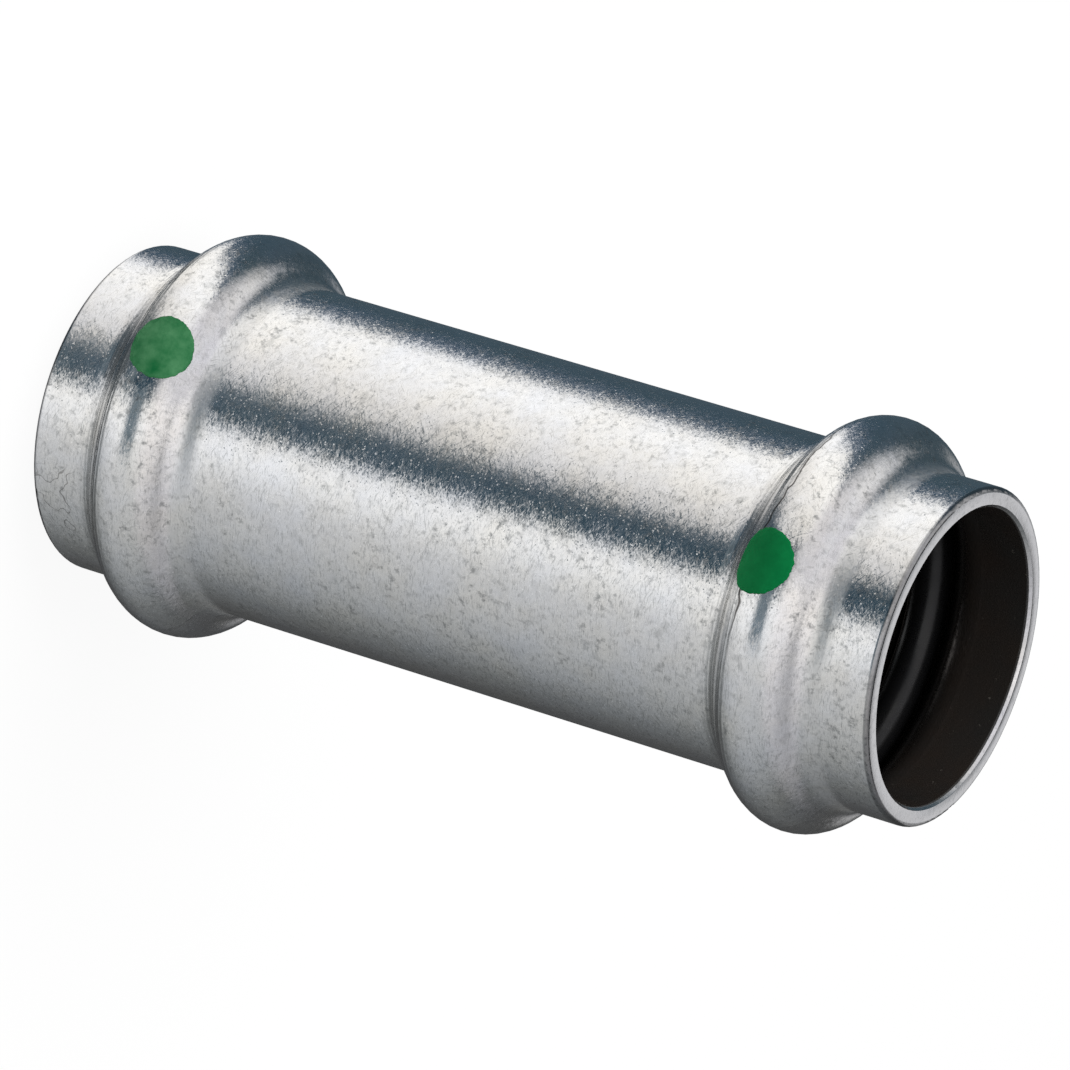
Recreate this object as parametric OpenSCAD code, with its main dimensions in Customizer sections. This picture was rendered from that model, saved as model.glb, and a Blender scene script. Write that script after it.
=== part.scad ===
// Slip coupling for pressing two pipe ends together.
// A length of steel tube has a bead rolled into it near each mouth. Each bead holds a rubber
// sealing ring and carries a printed dot. The bore has no stop, so a pipe slides right through.
// Z runs along the pipe. The origin is the centre of the lower mouth, on which the coupling stands.

/* [Pipe] */
// Outside diameter of the pipe that slides in
pipe_d = 22; // [15:0.5:35]
// Gap between the pipe and the bore, on the radius
pipe_gap = 0.2; // [0.1:0.05:0.4]

/* [Body] */
// Length from mouth to mouth
body_len = 72; // [60:1:120]
// Wall thickness of the tube, which the beads keep
wall = 1.5; // [1:0.1:1.6]
// Distance from each mouth to the middle of its bead
bead_offset = 9; // [8:0.1:14]
// Height of the bead's crest above the outside of the tube
bead_rise = 2.9; // [2.4:0.1:3.4]
// Radius of the bead's crest in section, on the outside
crest_r = 3.4; // [3.2:0.1:4.2]
// Radius of the hollow where the bead runs out into the tube, on the outside
hollow_r = 2.1; // [0.8:0.1:2.6]
// Rounding of the outer edge of each mouth
mouth_round = 0.4; // [0.1:0.05:0.6]
// Deburred chamfer on the inner edge of each mouth
mouth_chamfer = 0.2; // [0.1:0.05:0.4]

/* [Sealing rings] */
// Thickness of the ring's round section
seal_d = 3; // [2:0.1:3.2]
// Gap between the ring and the inside of the bead's crest
seal_gap = 0.05; // [0.02:0.01:0.2]

/* [Printed dots] */
// Diameter of the dot
dot_d = 4.9; // [3:0.1:5.2]
// Thickness of the dried ink
ink_t = 0.05; // [0.02:0.01:0.2]
// Lean of the dots away from the bead's crest, toward the middle of the coupling
dot_lean = 13; // [0:1:15]
// Angle between the two dots about the pipe
dot_turn = 9; // [0:1:180]

/* [Hidden] */
$fn = 120;

// Radii from the pipe's axis
bore_r = pipe_d / 2 + pipe_gap;
tube_r = bore_r + wall;
crest_top_r = tube_r + bead_rise;
crest_mid_r = crest_top_r - crest_r;
hollow_mid_r = tube_r + hollow_r;
seal_mid_r = crest_top_r - wall - seal_gap - seal_d / 2;

// Distance between the middles of the crest's arc and the hollow's arc, which touch
bend_r = crest_r + hollow_r;
// Half the length of tube that the bead takes up, as whole microns and the rest, so that the
// hollow's arc can be placed in two exact steps
bead_half = sqrt(bead_rise * (2 * bend_r - bead_rise));
bead_half_um = floor(bead_half * 1000) / 1000;
bead_half_rest = bead_half - bead_half_um;

// Heights of the two beads
lower_z = bead_offset;
upper_z = body_len - bead_offset;

// Section of the tube out to its outside, with rounded mouths
module tube() {
    edge_r = tube_r - mouth_round;
    square([edge_r, body_len]);
    translate([0, mouth_round])
        square([tube_r, body_len - 2 * mouth_round]);
    for (z = [mouth_round, body_len - mouth_round])
        translate([edge_r, z])
            circle(r = mouth_round);
}

// Section of the bore, which opens into a chamfer and runs out past each mouth
module bore() {
    out_r = bore_r + 2 * mouth_chamfer;
    polygon([
        [0, -mouth_chamfer],
        [out_r, -mouth_chamfer],
        [bore_r, mouth_chamfer],
        [bore_r, body_len - mouth_chamfer],
        [out_r, body_len + mouth_chamfer],
        [0, body_len + mouth_chamfer],
    ]);
}

// Section of one bead and all within it, about the bead's middle and drawn in by an inset:
// the crest's circle, and a wedge on each side with the hollow's circle cut away
module bead(inset) {
    translate([crest_mid_r, 0])
        circle(r = crest_r - inset);
    for (side = [0, 1])
        mirror([0, side])
            difference() {
                polygon([[0, 0], [crest_mid_r, 0], [hollow_mid_r, bead_half], [0, bead_half]]);
                translate([hollow_mid_r, bead_half_um])
                    translate([0, bead_half_rest])
                        circle(r = hollow_r + inset);
            }
}

// Section of both beads, each at its height
module both_beads(inset) {
    for (z = [lower_z, upper_z])
        translate([0, z])
            bead(inset);
}

// One-piece steel tube with both beads
module body() {
    color("#b4b8ba")
        rotate_extrude()
            difference() {
                union() {
                    tube();
                    both_beads(0);
                }
                bore();
                both_beads(wall);
            }
}

// Rubber ring that lies in the bead at height z
module seal(z) {
    color("#17181a")
        translate([0, 0, z])
            rotate_extrude()
                translate([seal_mid_r, 0])
                    circle(d = seal_d);
}

// Ink dot on the bead at height z, leaning up from the crest and turned about the pipe from the front
module dot(z, up, turn) {
    color("#0b7a3c")
        translate([0, 0, z])
            intersection() {
                rotate_extrude()
                    difference() {
                        bead(-ink_t);
                        bead(0);
                    }
                rotate(turn)
                    translate([0, -crest_mid_r, 0])
                        rotate([90 - up, 0, 0])
                            cylinder(d = dot_d, h = 2 * crest_r);
            }
}

body();
seal(lower_z);  // seal_lower
seal(upper_z);  // seal_upper
dot(lower_z, dot_lean, -dot_turn);  // dot_lower
dot(upper_z, -dot_lean, 0);  // dot_upper
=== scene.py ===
import math
import bmesh
import bpy
from mathutils import Euler, Matrix, Vector, noise


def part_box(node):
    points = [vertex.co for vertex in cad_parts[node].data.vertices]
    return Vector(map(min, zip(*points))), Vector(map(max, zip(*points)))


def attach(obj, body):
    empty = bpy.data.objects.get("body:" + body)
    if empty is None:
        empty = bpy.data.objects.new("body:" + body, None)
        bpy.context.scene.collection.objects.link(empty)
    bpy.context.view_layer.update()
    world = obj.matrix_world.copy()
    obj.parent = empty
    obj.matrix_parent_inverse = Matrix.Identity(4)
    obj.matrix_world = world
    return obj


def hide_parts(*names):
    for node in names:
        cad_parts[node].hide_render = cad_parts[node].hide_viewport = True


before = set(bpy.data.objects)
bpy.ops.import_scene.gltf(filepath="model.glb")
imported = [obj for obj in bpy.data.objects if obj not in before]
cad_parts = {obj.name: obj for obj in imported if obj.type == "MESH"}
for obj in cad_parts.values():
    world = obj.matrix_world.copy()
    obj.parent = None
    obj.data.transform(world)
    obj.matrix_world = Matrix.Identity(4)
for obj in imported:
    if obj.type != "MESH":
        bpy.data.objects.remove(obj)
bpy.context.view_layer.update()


# Body: one length of stainless steel tube, with a bead rolled into it near each mouth.
# The steel is pickled and tumbled after forming. That leaves a satin skin with hair-fine strokes that
# run round the tube, pits and stains, and tool lines on the beads. The bore is painted dark as shade.
MM = 0.001


def linear(colour):
    """sRGB hex to the linear colour that a shader reads."""
    parts = [int(colour[i:i + 2], 16) / 255 for i in (1, 3, 5)]
    return [p / 12.92 if p < 0.04045 else ((p + 0.055) / 1.055) ** 2.4 for p in parts] + [1.0]


def node(tree, kind, **values):
    """Adds one node. Lower-case names are its settings. Others are inputs by name, and i0, i1 by number:
    each takes a value, or the (node, output) that feeds it."""
    made = tree.nodes.new("ShaderNode" + kind)
    for name, value in values.items():
        numbered = name[0] == "i" and name[1:].isdigit()
        if name.islower() and not numbered:
            setattr(made, name, value)
            continue
        key = int(name[1:]) if numbered else name.replace("_", " ")
        if isinstance(value, tuple) and isinstance(value[0], bpy.types.Node):
            tree.links.new(value[0].outputs[value[1]], made.inputs[key])
        else:
            made.inputs[key].default_value = value
    return made


def new_material(name):
    """A material with an empty node tree, and that tree."""
    made = bpy.data.materials.new(name)
    made.use_nodes = True
    made.node_tree.nodes.clear()
    return made, made.node_tree


body_low, body_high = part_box("body")
seal_low, seal_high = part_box("seal_lower")
MIDDLE = (body_low[2] + body_high[2]) / 2
BEAD_FROM_MIDDLE = MIDDLE - (seal_low[2] + seal_high[2]) / 2

steel, tree = new_material("pickled_stainless_steel")
place = node(tree, "TexCoord")
spot = node(tree, "SeparateXYZ", Vector=(place, "Object"))
facing = node(tree, "NewGeometry")
round_way = node(tree, "VectorMath", operation="CROSS_PRODUCT", i0=(0, 0, 1), i1=(facing, "Normal"))
from_middle = node(tree, "Math", operation="SUBTRACT", i0=(spot, "Z"), i1=MIDDLE)
to_mouth = node(tree, "Math", operation="ABSOLUTE", i0=(from_middle, "Value"))
past_bead = node(tree, "Math", operation="SUBTRACT", i0=(to_mouth, "Value"), i1=BEAD_FROM_MIDDLE)

# Tumbling strokes eight times as long as wide, which run round the tube and lean up to 30 degrees.
# The deepest ones hold dirt and show as dark hairs.
STROKE_LONG = 0.7 * MM
STROKE_SLENDER = 8
STROKE_LEAN = 30
strokes = hairs = None
for tilt in (0, STROKE_LEAN, -STROKE_LEAN):
    turned = node(tree, "Mapping", vector_type="TEXTURE", Vector=(place, "Object"),
                  Rotation=(math.radians(tilt), math.radians(tilt), 0), Scale=(1, 1, 1 / STROKE_SLENDER))
    layer = node(tree, "TexNoise", Vector=(turned, "Vector"), Scale=1 / STROKE_LONG, Detail=1.5,
                 Roughness=0.6)
    hair = node(tree, "MapRange", Value=(layer, "Fac"), From_Min=0.58, From_Max=0.72)
    if strokes:
        strokes = node(tree, "Math", operation="ADD", i0=(strokes, 0), i1=(layer, "Fac"))
        hairs = node(tree, "Math", operation="MAXIMUM", i0=(hairs, 0), i1=(hair, "Result"))
    else:
        strokes = node(tree, "Math", operation="SUBTRACT", i0=(layer, "Fac"), i1=1.5)
        hairs = hair

# Crystal facets: one in fourteen is tipped and duller, and sparkles or goes dark. They are finer on the
# real steel, and drawn this wide to show.
FACET = 0.09 * MM
FACET_TIP = 0.16
FLAT_SHARE = 0.929
facets = node(tree, "TexVoronoi", Vector=(place, "Object"), Scale=1 / FACET)
draws = node(tree, "SeparateColor", Color=(facets, "Color"))
tipped = node(tree, "Math", operation="GREATER_THAN", i0=(draws, "Red"), i1=FLAT_SHARE)
tip = node(tree, "MapRange", Value=(draws, "Green"), To_Min=-FACET_TIP, To_Max=FACET_TIP)
tip = node(tree, "Math", operation="MULTIPLY", i0=(tipped, "Value"), i1=(tip, "Result"))

# Fine grain, dents, broad patches that hold the pits and stains, and the pits themselves
GRAIN, DENT, PATCH, PIT = 0.3 * MM, 1.2 * MM, 6 * MM, 0.55 * MM
grain = node(tree, "TexNoise", Vector=(place, "Object"), Scale=1 / GRAIN, Detail=2.0, Roughness=0.6)
dents = node(tree, "TexNoise", Vector=(place, "Object"), Scale=1 / DENT, Detail=3.0, Roughness=0.6)
patch = node(tree, "TexNoise", Vector=(place, "Object"), Scale=1 / PATCH, Detail=4.0, Roughness=0.6)
speck = node(tree, "TexNoise", Vector=(place, "Object"), Scale=1 / PIT, Detail=3.0, Roughness=0.65)
fleck = node(tree, "MapRange", Value=(dents, "Fac"), From_Min=0.58, From_Max=0.7)
pitted = node(tree, "MapRange", Value=(patch, "Fac"), From_Min=0.38, From_Max=0.62)
pit = node(tree, "MapRange", Value=(speck, "Fac"), From_Min=0.54, From_Max=0.7)
pit = node(tree, "Math", operation="MULTIPLY", i0=(pit, "Result"), i1=(pitted, "Result"))

# Tool lines on the lower flank of each bead
LINE_GAP = 0.45 * MM
upper_half = node(tree, "Math", operation="SIGN", i0=(from_middle, "Value"))
above_crest = node(tree, "Math", operation="MULTIPLY", i0=(past_bead, "Value"), i1=(upper_half, "Value"))
line_no = node(tree, "Math", operation="MULTIPLY", i0=(above_crest, "Value"),
               i1=2 * math.pi / LINE_GAP)
line_no = node(tree, "Math", operation="MULTIPLY_ADD", i0=(patch, "Fac"), i1=5.0, i2=(line_no, "Value"))
lines = node(tree, "Math", operation="SINE", i0=(line_no, "Value"))
flank = node(tree, "MapRange", interpolation_type="SMOOTHSTEP", Value=(above_crest, "Value"),
             From_Min=-0.8 * MM, From_Max=-1.6 * MM)
past_flank = node(tree, "MapRange", interpolation_type="SMOOTHSTEP", Value=(above_crest, "Value"),
                  From_Min=-5.0 * MM, From_Max=-4.0 * MM)
flank = node(tree, "Math", operation="MULTIPLY", i0=(flank, "Result"), i1=(past_flank, "Result"))
lines = node(tree, "Math", operation="MULTIPLY", i0=(lines, "Value"), i1=(flank, "Value"))

# The hollow above each bead, where the tumbling hardly reaches and the steel stays dull
hollow = node(tree, "MapRange", interpolation_type="SMOOTHSTEP", Value=(above_crest, "Value"),
              From_Min=3.2 * MM, From_Max=4.2 * MM)
past_hollow = node(tree, "MapRange", interpolation_type="SMOOTHSTEP", Value=(above_crest, "Value"),
                   From_Min=5.6 * MM, From_Max=4.6 * MM)
hollow = node(tree, "Math", operation="MULTIPLY", i0=(hollow, "Result"), i1=(past_hollow, "Result"))

# Long scratches: the thin level lines of a slow noise, at one scuff and, faintly, in a few of the patches
DRIFT = 2.6 * MM
drift = node(tree, "TexNoise", Vector=(place, "Object"), Scale=1 / DRIFT, Detail=2.0, Roughness=0.5)
off_level = node(tree, "Math", operation="SUBTRACT", i0=(drift, "Fac"), i1=0.5)
off_level = node(tree, "Math", operation="ABSOLUTE", i0=(off_level, "Value"))
scratch = node(tree, "MapRange", Value=(off_level, "Value"), From_Min=0.01, From_Max=0.004)
SCUFF_AT = Vector((9.6, -8.2, 2.6)) * MM
SCUFF_R = 3.6 * MM
from_scuff = node(tree, "VectorMath", operation="DISTANCE", i0=(place, "Object"), i1=SCUFF_AT)
scuffed = node(tree, "MapRange", Value=(from_scuff, "Value"), From_Min=SCUFF_R, From_Max=0.6 * SCUFF_R)
rare = node(tree, "MapRange", Value=(patch, "Fac"), From_Min=0.58, From_Max=0.64, To_Max=0.3)
scuffed = node(tree, "Math", operation="MAXIMUM", i0=(scuffed, "Result"), i1=(rare, "Result"))
scratch = node(tree, "Math", operation="MULTIPLY", i0=(scratch, "Result"), i1=(scuffed, "Value"))

# A crease that the rolling tool left along the crest of the upper bead
CREASE_AT = Vector((-4.5, -14.5, 61.6)) * MM
CREASE_R = 12 * MM
CREASE_W = 0.12 * MM
wander = node(tree, "MapRange", Value=(drift, "Fac"), From_Min=0.3, From_Max=0.7,
              To_Min=CREASE_AT.z - 0.3 * MM, To_Max=CREASE_AT.z + 0.3 * MM)
crease = node(tree, "Math", operation="SUBTRACT", i0=(spot, "Z"), i1=(wander, "Result"))
crease = node(tree, "Math", operation="ABSOLUTE", i0=(crease, "Value"))
crease = node(tree, "MapRange", Value=(crease, "Value"), From_Min=CREASE_W, From_Max=0.4 * CREASE_W)
from_crease = node(tree, "VectorMath", operation="DISTANCE", i0=(place, "Object"), i1=CREASE_AT)
near = node(tree, "MapRange", Value=(from_crease, "Value"), From_Min=CREASE_R, From_Max=0.7 * CREASE_R)
crease = node(tree, "Math", operation="MULTIPLY", i0=(crease, "Result"), i1=(near, "Result"))

# The bore faces the pipe's axis, and its colour is painted dark as the shade inside the tube, browner in
# patches and with specks of dust
off_axis = node(tree, "VectorMath", operation="MULTIPLY", i0=(place, "Object"), i1=(1, 1, 0))
outward = node(tree, "VectorMath", operation="NORMALIZE", i0=(off_axis, "Vector"))
inside = node(tree, "VectorMath", operation="DOT_PRODUCT", i0=(outward, "Vector"), i1=(facing, "Normal"))
inside = node(tree, "MapRange", Value=(inside, "Value"), From_Min=0.0, From_Max=-0.3)
deep = node(tree, "MapRange", Value=(to_mouth, "Value"), From_Min=MIDDLE - 0.15 * MM,
            From_Max=MIDDLE - 0.4 * MM)
painted_bore_shade = node(tree, "Math", operation="MULTIPLY", i0=(inside, "Result"), i1=(deep, "Result"))
browner_bore_shade = node(tree, "Math", operation="MULTIPLY", i0=(painted_bore_shade, "Value"), i1=(pitted, "Result"))
dust = node(tree, "MapRange", Value=(speck, "Fac"), From_Min=0.68, From_Max=0.74)
dust = node(tree, "Math", operation="MULTIPLY", i0=(dust, "Result"), i1=(painted_bore_shade, "Value"))

# Tumbling wears the cut mouths: the flat face is smooth and leans away from the middle of the wall,
# and on the rounded outer edge a dark reflection is painted into the colour
MOUTH_ROUND = 0.4 * MM
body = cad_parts["body"]
radii = [(math.hypot(v.co.x, v.co.y), v.co.z) for v in body.data.vertices]
BORE_R = min(r for r, z in radii)
TUBE_R = max(r for r, z in radii if z > body_high[2] - 2 * MOUTH_ROUND)
from_axis = node(tree, "VectorMath", operation="LENGTH", i0=(off_axis, "Vector"))
rim = node(tree, "MapRange", Value=(to_mouth, "Value"), From_Min=MIDDLE - 0.05 * MM,
           From_Max=MIDDLE - 0.01 * MM)
splay = node(tree, "MapRange", Value=(from_axis, "Value"), From_Min=BORE_R, From_Max=TUBE_R,
             To_Min=-0.25, To_Max=0.25)
splay = node(tree, "Math", operation="MULTIPLY", i0=(splay, "Result"), i1=(rim, "Result"))
splay = node(tree, "VectorMath", operation="SCALE", i0=(outward, "Vector"), Scale=(splay, "Value"))
# The rounded outer edge, where a dark reflection is painted
edge = node(tree, "MapRange", Value=(from_axis, "Value"), From_Min=TUBE_R - 1.05 * MOUTH_ROUND,
            From_Max=TUBE_R - 0.85 * MOUTH_ROUND)
near_mouth = node(tree, "MapRange", Value=(to_mouth, "Value"), From_Min=MIDDLE - 0.95 * MOUTH_ROUND,
                  From_Max=MIDDLE - 0.7 * MOUTH_ROUND)
edge = node(tree, "Math", operation="MULTIPLY", i0=(edge, "Result"), i1=(near_mouth, "Result"))

# Colour: warm and cool steel by the patches, lighter and darker by the strokes and dents, then the marks
stain = node(tree, "MapRange", Value=(patch, "Fac"), From_Min=0.35, From_Max=0.65)
colour = node(tree, "Mix", data_type="RGBA", Factor=(stain, "Result"), i6=linear("#e3e4e7"),
              i7=linear("#e7e5e1"))
tone = node(tree, "MapRange", Value=(strokes, "Value"), From_Min=-0.3, From_Max=0.3, To_Min=0.72,
            To_Max=0.92)
tone = node(tree, "Math", operation="MULTIPLY_ADD", i0=(dents, "Fac"), i1=0.3, i2=(tone, "Result"))
colour = node(tree, "VectorMath", operation="SCALE", i0=(colour, 2), Scale=(tone, "Value"))
colour = (colour, "Vector")
# Painted light among these marks: the dark outer edge of the mouths is a painted reflection, and the dark
# bore is painted shade
for mask, share, shade in (
    (lines, 0.35, "#8d8f90"), (hairs, 0.5, "#9c9d9c"), (fleck, 0.4, "#979999"), (pit, 0.75, "#838585"),
    (scratch, 0.65, "#5a5654"), (crease, 0.9, "#3a3634"), (rim, 0.75, "#dcdcdd"), (edge, 0.6, "#4c4d50"),
    (painted_bore_shade, 1.0, "#3d3b39"), (browner_bore_shade, 0.35, "#4a3a30"), (dust, 0.6, "#98928a"),
):
    amount = node(tree, "Math", operation="MULTIPLY", i0=(mask, 0), i1=share)
    mixed = node(tree, "Mix", data_type="RGBA", Factor=(amount, "Value"), i6=colour, i7=linear(shade))
    colour = (mixed, 2)

# Gloss and relief: the strokes and facets tip the surface round the tube, but not at the mouths
rough = node(tree, "MapRange", Value=(strokes, "Value"), From_Min=-0.3, From_Max=0.3, To_Min=0.15,
             To_Max=0.23)
rough = node(tree, "Math", operation="MULTIPLY_ADD", i0=(pit, "Value"), i1=0.15, i2=(rough, "Result"))
rough = node(tree, "Math", operation="MULTIPLY_ADD", i0=(tipped, "Value"), i1=0.08, i2=(rough, "Value"))
rough = node(tree, "Math", operation="MULTIPLY_ADD", i0=(hollow, "Value"), i1=0.22, i2=(rough, "Value"))
height = node(tree, "Math", operation="MULTIPLY_ADD", i0=(lines, "Value"), i1=0.8, i2=(grain, "Fac"))
height = node(tree, "Math", operation="MULTIPLY_ADD", i0=(dents, "Fac"), i1=1.5, i2=(height, "Value"))
for mark in (scratch, crease):
    height = node(tree, "Math", operation="SUBTRACT", i0=(height, "Value"), i1=(mark, "Value"))
bump = node(tree, "Bump", Strength=0.25, Distance=0.03 * MM, Height=(height, "Value"))
lean = node(tree, "Math", operation="MULTIPLY_ADD", i0=(strokes, "Value"), i1=0.12, i2=(tip, "Value"))
lean = node(tree, "Math", operation="MULTIPLY_ADD", i0=(hairs, 0), i1=0.04, i2=(lean, "Value"))
calm = node(tree, "MapRange", Value=(to_mouth, "Value"), From_Min=MIDDLE - 0.75 * MOUTH_ROUND,
            From_Max=MIDDLE - 1.5 * MOUTH_ROUND)
lean = node(tree, "Math", operation="MULTIPLY", i0=(lean, "Value"), i1=(calm, "Result"))
leaning = node(tree, "VectorMath", operation="SCALE", i0=(round_way, "Vector"), Scale=(lean, "Value"))
normal = (bump, "Normal")
for push in (leaning, splay):
    normal = (node(tree, "VectorMath", operation="ADD", i0=normal, i1=(push, "Vector")), "Vector")
normal = node(tree, "VectorMath", operation="NORMALIZE", i0=normal)
# The steel is less metallic where the bore is painted dark as shade
metal = node(tree, "MapRange", Value=(painted_bore_shade, "Value"), To_Min=1.0, To_Max=0.5)
shader = node(tree, "BsdfPrincipled", Base_Color=colour, Metallic=(metal, "Result"),
              Roughness=(rough, "Value"), Normal=(normal, "Vector"))
node(tree, "OutputMaterial", Surface=(shader, "BSDF"))
body.data.materials.clear()
body.data.materials.append(steel)


# Sealing rings: two moulded O-rings of black EPDM rubber, one pushed into the groove inside each bead.
# The rubber is matt, with a breath of talc and the sheen of the mounting grease.
rubber, tree = new_material("black_epdm_rubber")
place = node(tree, "TexCoord")
TALC = 0.8 * MM
talc = node(tree, "TexNoise", Vector=(place, "Object"), Scale=1 / TALC, Detail=4.0)
bump = node(tree, "Bump", Strength=0.1, Distance=0.05 * MM, Height=(talc, "Fac"))
rough = node(tree, "MapRange", Value=(talc, "Fac"), From_Min=0.3, From_Max=0.7, To_Min=0.22, To_Max=0.34)
shader = node(tree, "BsdfPrincipled", Base_Color=linear("#121213"), Roughness=(rough, "Result"),
              Specular_IOR_Level=0.35, Normal=(bump, "Normal"))
node(tree, "OutputMaterial", Surface=(shader, "BSDF"))
for name in ("seal_lower", "seal_upper"):
    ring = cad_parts[name]
    ring.data.materials.clear()
    ring.data.materials.append(rubber)


# Dots: green ink dabbed on the crest of each bead with a pad, so that its edge is a little ragged.
# It dries to a thin satin film, and the lower dab came out thinner and paler than the upper one.
DOT_ACROSS, DOT_ALONG = 2.52 * MM, 2.36 * MM
DOT_LEAN = math.radians(13)
INK_T = 0.045 * MM
CREST_R = 3.4 * MM
CREST_MID_R = body_high[0] - CREST_R
RAGGED = 0.03
CLOUD = 1.5 * MM
EDGE_POINTS = 160
INSETS = 14


def dab(name, bead_z, turn, lean, seed):
    """A closed film of ink that follows the bead's crest."""
    mesh = bmesh.new()
    bmesh.ops.create_circle(mesh, cap_ends=True, segments=EDGE_POINTS, radius=1.0)
    for i in range(INSETS):
        inner = [f for f in mesh.faces if len(f.verts) > 4]
        bmesh.ops.inset_region(mesh, faces=inner, thickness=1.0 / (INSETS + 1), use_boundary=True,
                               use_even_offset=True)
    lifted = bmesh.ops.extrude_face_region(mesh, geom=mesh.faces[:])
    for vert in [g for g in lifted["geom"] if isinstance(g, bmesh.types.BMVert)]:
        vert.co.z = 1.0
    for vert in mesh.verts:
        flat = Vector((vert.co.x, vert.co.y))
        edge = flat.normalized() if flat.length else flat
        swell = 1 + RAGGED * noise.fractal(Vector((3 * edge.x, 3 * edge.y, seed)), 0.4, 2.4, 5)
        across, along = flat.x * DOT_ACROSS * swell, flat.y * DOT_ALONG * swell
        angle = lean + math.asin(along / CREST_R)
        reach = CREST_R + INK_T * vert.co.z * (1 if flat.length < 0.97 else 0.4)
        radius = CREST_MID_R + reach * math.cos(angle)
        side = turn + math.asin(across / radius)
        vert.co = (radius * math.sin(side), -radius * math.cos(side), bead_z + reach * math.sin(angle))
    bmesh.ops.recalc_face_normals(mesh, faces=mesh.faces[:])
    data = bpy.data.meshes.new(name)
    mesh.to_mesh(data)
    mesh.free()
    for face in data.polygons:
        face.use_smooth = True
    piece = bpy.data.objects.new(name, data)
    bpy.context.scene.collection.objects.link(piece)
    return piece


for end, sign, turn, seed, thick, thin in (
    ("lower", 1, math.radians(-9), 3.7, "#125a31", "#4a8058"),
    ("upper", -1, 0.0, 8.2, "#005a2e", "#076a38"),
):
    ink, tree = new_material(f"green_marking_ink_{end}")
    place = node(tree, "TexCoord")
    cloud = node(tree, "TexNoise", Vector=(place, "Object"), Scale=1 / CLOUD, Detail=4.0, Roughness=0.6)
    tone = node(tree, "MapRange", Value=(cloud, "Fac"), From_Min=0.28, From_Max=0.72)
    colour = node(tree, "Mix", data_type="RGBA", Factor=(tone, "Result"), i6=linear(thick),
                  i7=linear(thin))
    bump = node(tree, "Bump", Strength=0.3, Distance=0.03 * MM, Height=(cloud, "Fac"))
    shader = node(tree, "BsdfPrincipled", Base_Color=(colour, 2), Roughness=0.55,
                  Specular_IOR_Level=0.05, Normal=(bump, "Normal"))
    node(tree, "OutputMaterial", Surface=(shader, "BSDF"))
    piece = dab(f"ink_dot_{end}", MIDDLE - sign * BEAD_FROM_MIDDLE, turn, sign * DOT_LEAN, seed)
    piece.data.materials.append(ink)
    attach(piece, "root")
    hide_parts(f"dot_{end}")


# Stage: a white floor, a studio tent with two dark slots in its wall, one soft lamp overhead and the
# camera, which is rolled so that the standing coupling lies across the picture as in the photograph.
FLOOR_HALF = 2.0
FLOOR_GLOW = 0.92
mesh = bmesh.new()
bmesh.ops.create_grid(mesh, x_segments=1, y_segments=1, size=FLOOR_HALF)
floor_mesh = bpy.data.meshes.new("floor")
mesh.to_mesh(floor_mesh)
mesh.free()
floor = bpy.data.objects.new("floor", floor_mesh)
bpy.context.scene.collection.objects.link(floor)
floor.visible_glossy = False
card, tree = new_material("white_floor")
path = node(tree, "LightPath")
lit = node(tree, "BsdfDiffuse", Color=linear("#f4f4f4"))
glow = node(tree, "Emission", Color=(1, 1, 1, 1), Strength=1.0)
part = node(tree, "Math", operation="MULTIPLY", i0=(path, "Is Camera Ray"), i1=FLOOR_GLOW)
mixed = node(tree, "MixShader", Fac=(part, "Value"), i1=(lit, "BSDF"), i2=(glow, "Emission"))
node(tree, "OutputMaterial", Surface=(mixed, "Shader"))
floor_mesh.materials.append(card)

VIEW_TURN, VIEW_HEIGHT, VIEW_ROLL = 9.78, 27.68, 106.92
world = bpy.data.worlds.new("studio_tent")
bpy.context.scene.world = world
world.use_nodes = True
tree = world.node_tree
tree.nodes.clear()
place = node(tree, "TexCoord")
way = node(tree, "SeparateXYZ", Vector=(place, "Generated"))
turn = node(tree, "Math", operation="ARCTAN2", i0=(way, "Y"), i1=(way, "X"))
# Angle round the tent from the camera's side, toward the top of the picture, as a share of a full turn
share = node(tree, "Math", operation="MULTIPLY_ADD", i0=(turn, "Value"), i1=-1 / (2 * math.pi),
             i2=0.5 + (VIEW_TURN - 90) / 360)
wrapped = node(tree, "Math", operation="FRACT", i0=(share, "Value"))
# The slots in the wall slant: below the camera's line both swing to the back as they drop, and above it
# the far one draws in toward the front as it rises
LEVEL = -math.sin(math.radians(VIEW_HEIGHT))
NEAR_SLOT_END = 30 / 360
ahead = node(tree, "Math", operation="SUBTRACT", i0=(wrapped, "Value"), i1=0.5)
upper_side = node(tree, "Math", operation="MAXIMUM", i0=(ahead, "Value"), i1=0.0)
lower_side = node(tree, "Math", operation="MINIMUM", i0=(ahead, "Value"), i1=0.0)
swing = node(tree, "MapRange", Value=(way, "Z"), From_Min=LEVEL - 0.6, From_Max=LEVEL, To_Min=0.1)
draw = node(tree, "MapRange", Value=(way, "Z"), From_Min=LEVEL, From_Max=LEVEL + 1.4, To_Min=1.0,
            To_Max=1.85)
swung = node(tree, "Math", operation="MULTIPLY", i0=(upper_side, "Value"), i1=(swing, "Result"))
near_part = node(tree, "Math", operation="MINIMUM", i0=(swung, "Value"), i1=NEAR_SLOT_END)
far_part = node(tree, "Math", operation="SUBTRACT", i0=(swung, "Value"), i1=(near_part, "Value"))
slanted = node(tree, "Math", operation="MULTIPLY_ADD", i0=(far_part, "Value"), i1=(draw, "Result"),
               i2=(near_part, "Value"))
slanted = node(tree, "Math", operation="ADD", i0=(slanted, "Value"), i1=(lower_side, "Value"))
slanted = node(tree, "Math", operation="ADD", i0=(slanted, "Value"), i1=0.5)
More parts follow.
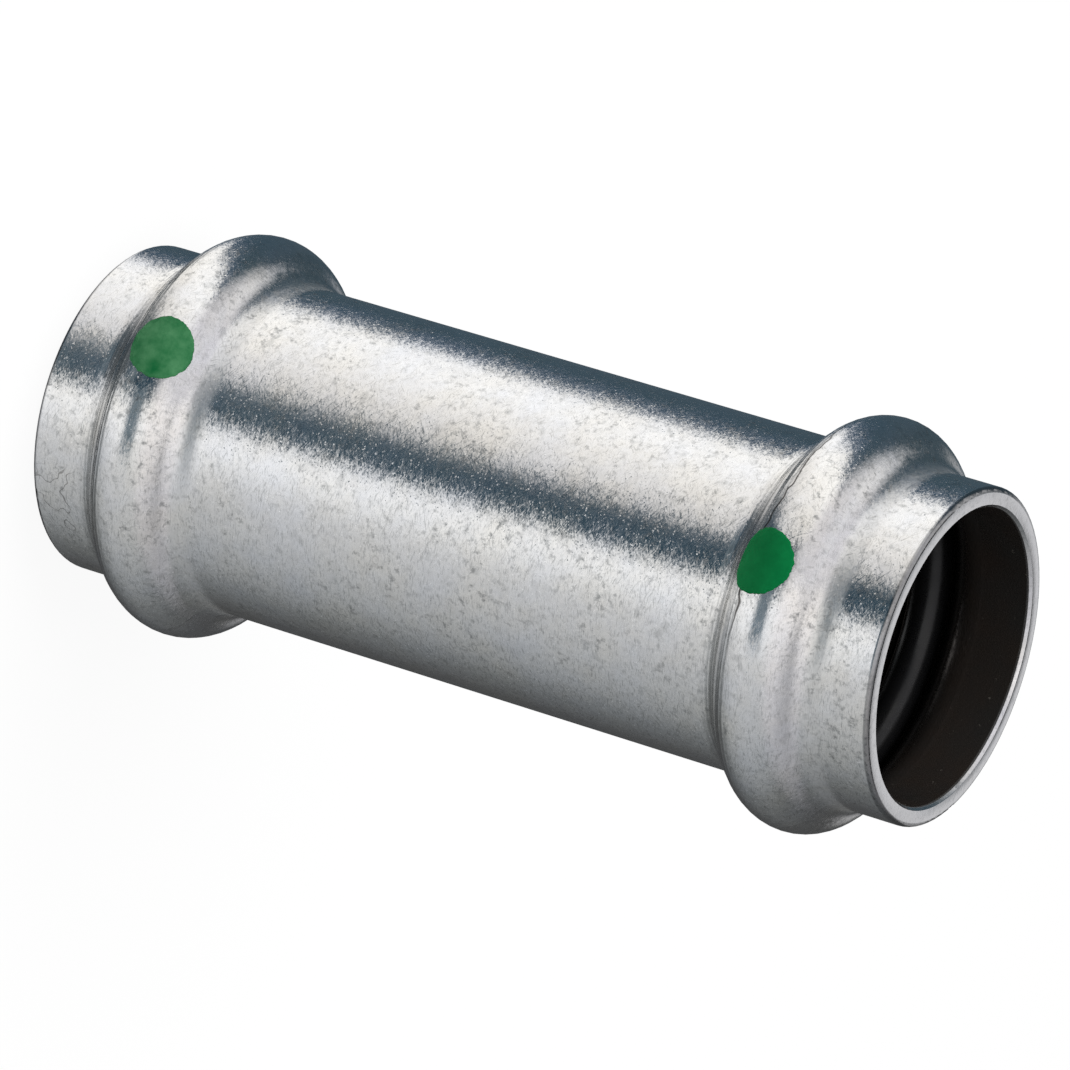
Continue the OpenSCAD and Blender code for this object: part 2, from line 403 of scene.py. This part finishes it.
# Colours of the wall and of the roof, by the angle in degrees
WALL = (
    (-180, "#3c3d3e"), (-150, "#454647"), (-120, "#676a6b"), (-90, "#979a9c"), (-60, "#b4b6b8"),
    (-34, "#c8c9ca"), (-16, "#ecedee"), (-1, "#ffffff"), (9, "#28404f"), (27, "#253b49"),
    (38, "#d4d2d0"), (60, "#f0eeeb"), (84, "#ffffff"), (104, "#ffffff"), (114, "#48586a"),
    (136, "#394b56"), (165, "#3e4d57"), (180, "#37464f"),
)
ROOF = (
    (-180, "#cdcdcf"), (-140, "#97979a"), (-100, "#a8a8ab"), (-60, "#c4c3c6"), (-10, "#efedee"),
    (8, "#f3f0f0"), (30, "#cccbce"), (60, "#d6d4d7"), (97, "#d3d2d5"), (127, "#e2e2e4"),
    (180, "#cdcdcf"),
)
ramps = []
for stops, along in ((WALL, slanted), (ROOF, wrapped)):
    ramp = node(tree, "ValToRGB", Fac=(along, "Value"))
    ramp.color_ramp.elements.remove(ramp.color_ramp.elements[1])
    for i, (angle, colour_hex) in enumerate(stops):
        at = (angle + 180) / 360
        stop = ramp.color_ramp.elements[0] if i == 0 else ramp.color_ramp.elements.new(at)
        stop.position = at
        stop.color = linear(colour_hex)
    ramps.append(ramp)
rise = node(tree, "MapRange", interpolation_type="SMOOTHSTEP", Value=(way, "Z"), From_Min=0.32,
            From_Max=0.76)
tent = node(tree, "Mix", data_type="RGBA", Factor=(rise, "Result"), i6=(ramps[0], "Color"),
            i7=(ramps[1], "Color"))
# The near slot's wide end and its paler foot, the dark floor below and behind the coupling, and at its
# back a pale curtain below a dark gap, which show as thin lines in the rounded mouth. Each has the middle
# and half width in degrees, the lowest and highest level and the shade.
SOFT_TURN, SOFT_LEVEL = 5, 0.06
for middle, half, low, high, shade in (
    (-7, 17, -0.33, 0.2, "#6a7780"),
    (27, 15, -0.8, -0.52, "#5f6c74"),
    (105, 75, -1.1, -0.88, "#545a5e"),
    (164, 28, -1.1, -0.68, "#3d4449"),
    (180, 16, -0.12, 0.5, "#c4c4c6"),
    (180, 36, 0.62, 0.95, "#1c1d1f"),
):
    off = node(tree, "Math", operation="SUBTRACT", i0=(share, "Value"), i1=middle / 360)
    off = node(tree, "Math", operation="FRACT", i0=(off, "Value"))
    off = node(tree, "Math", operation="SUBTRACT", i0=(off, "Value"), i1=0.5)
    off = node(tree, "Math", operation="ABSOLUTE", i0=(off, "Value"))
    strip = node(tree, "MapRange", Value=(off, "Value"), From_Min=(half + SOFT_TURN) / 360,
                 From_Max=(half - SOFT_TURN) / 360)
    for level, inward in ((low, SOFT_LEVEL), (high, -SOFT_LEVEL)):
        within = node(tree, "MapRange", Value=(way, "Z"), From_Min=level - inward,
                      From_Max=level + inward)
        strip = node(tree, "Math", operation="MULTIPLY", i0=(strip, 0), i1=(within, "Result"))
    tent = node(tree, "Mix", data_type="RGBA", Factor=(strip, "Value"), i6=(tent, 2), i7=linear(shade))
path = node(tree, "LightPath")
soft = node(tree, "Background", Color=(1, 1, 1, 1), Strength=0.55)
shown = node(tree, "Background", Color=(tent, 2), Strength=1.3)
white = node(tree, "Background", Color=(1, 1, 1, 1), Strength=1.0)
around = node(tree, "MixShader", Fac=(path, "Is Glossy Ray"), i1=(soft, "Background"),
              i2=(shown, "Background"))
seen = node(tree, "MixShader", Fac=(path, "Is Camera Ray"), i1=(around, "Shader"),
            i2=(white, "Background"))
node(tree, "OutputWorld", Surface=(seen, "Shader"))

lamp_data = bpy.data.lights.new("overhead", "AREA")
lamp_data.shape = "DISK"
lamp_data.size = 0.6
lamp_data.energy = 6.0
lamp = bpy.data.objects.new("overhead", lamp_data)
lamp.location = (-0.25, -0.2, 0.8)
CENTRE = Vector((0, 0, MIDDLE))
lamp.rotation_euler = (CENTRE - lamp.location).to_track_quat("-Z", "Y").to_euler()
lamp.visible_glossy = False
bpy.context.scene.collection.objects.link(lamp)

CAMERA_SIDE, CAMERA_UP, CAMERA_AWAY = 0.00033, -0.00044, 0.6029
camera_data = bpy.data.cameras.new("camera")
camera_data.sensor_width = 36.0
camera_data.lens = 274.8
camera = bpy.data.objects.new("camera", camera_data)
turned = Euler((math.radians(90 - VIEW_HEIGHT), 0, math.radians(VIEW_TURN))).to_matrix()
turned = turned @ Matrix.Rotation(math.radians(VIEW_ROLL), 3, "Z")
stand = CENTRE + turned @ Vector((CAMERA_SIDE, CAMERA_UP, CAMERA_AWAY))
camera.matrix_world = Matrix.Translation(stand) @ turned.to_4x4()
bpy.context.scene.collection.objects.link(camera)
bpy.context.scene.camera = camera
bpy.context.scene.view_settings.view_transform = "Standard"
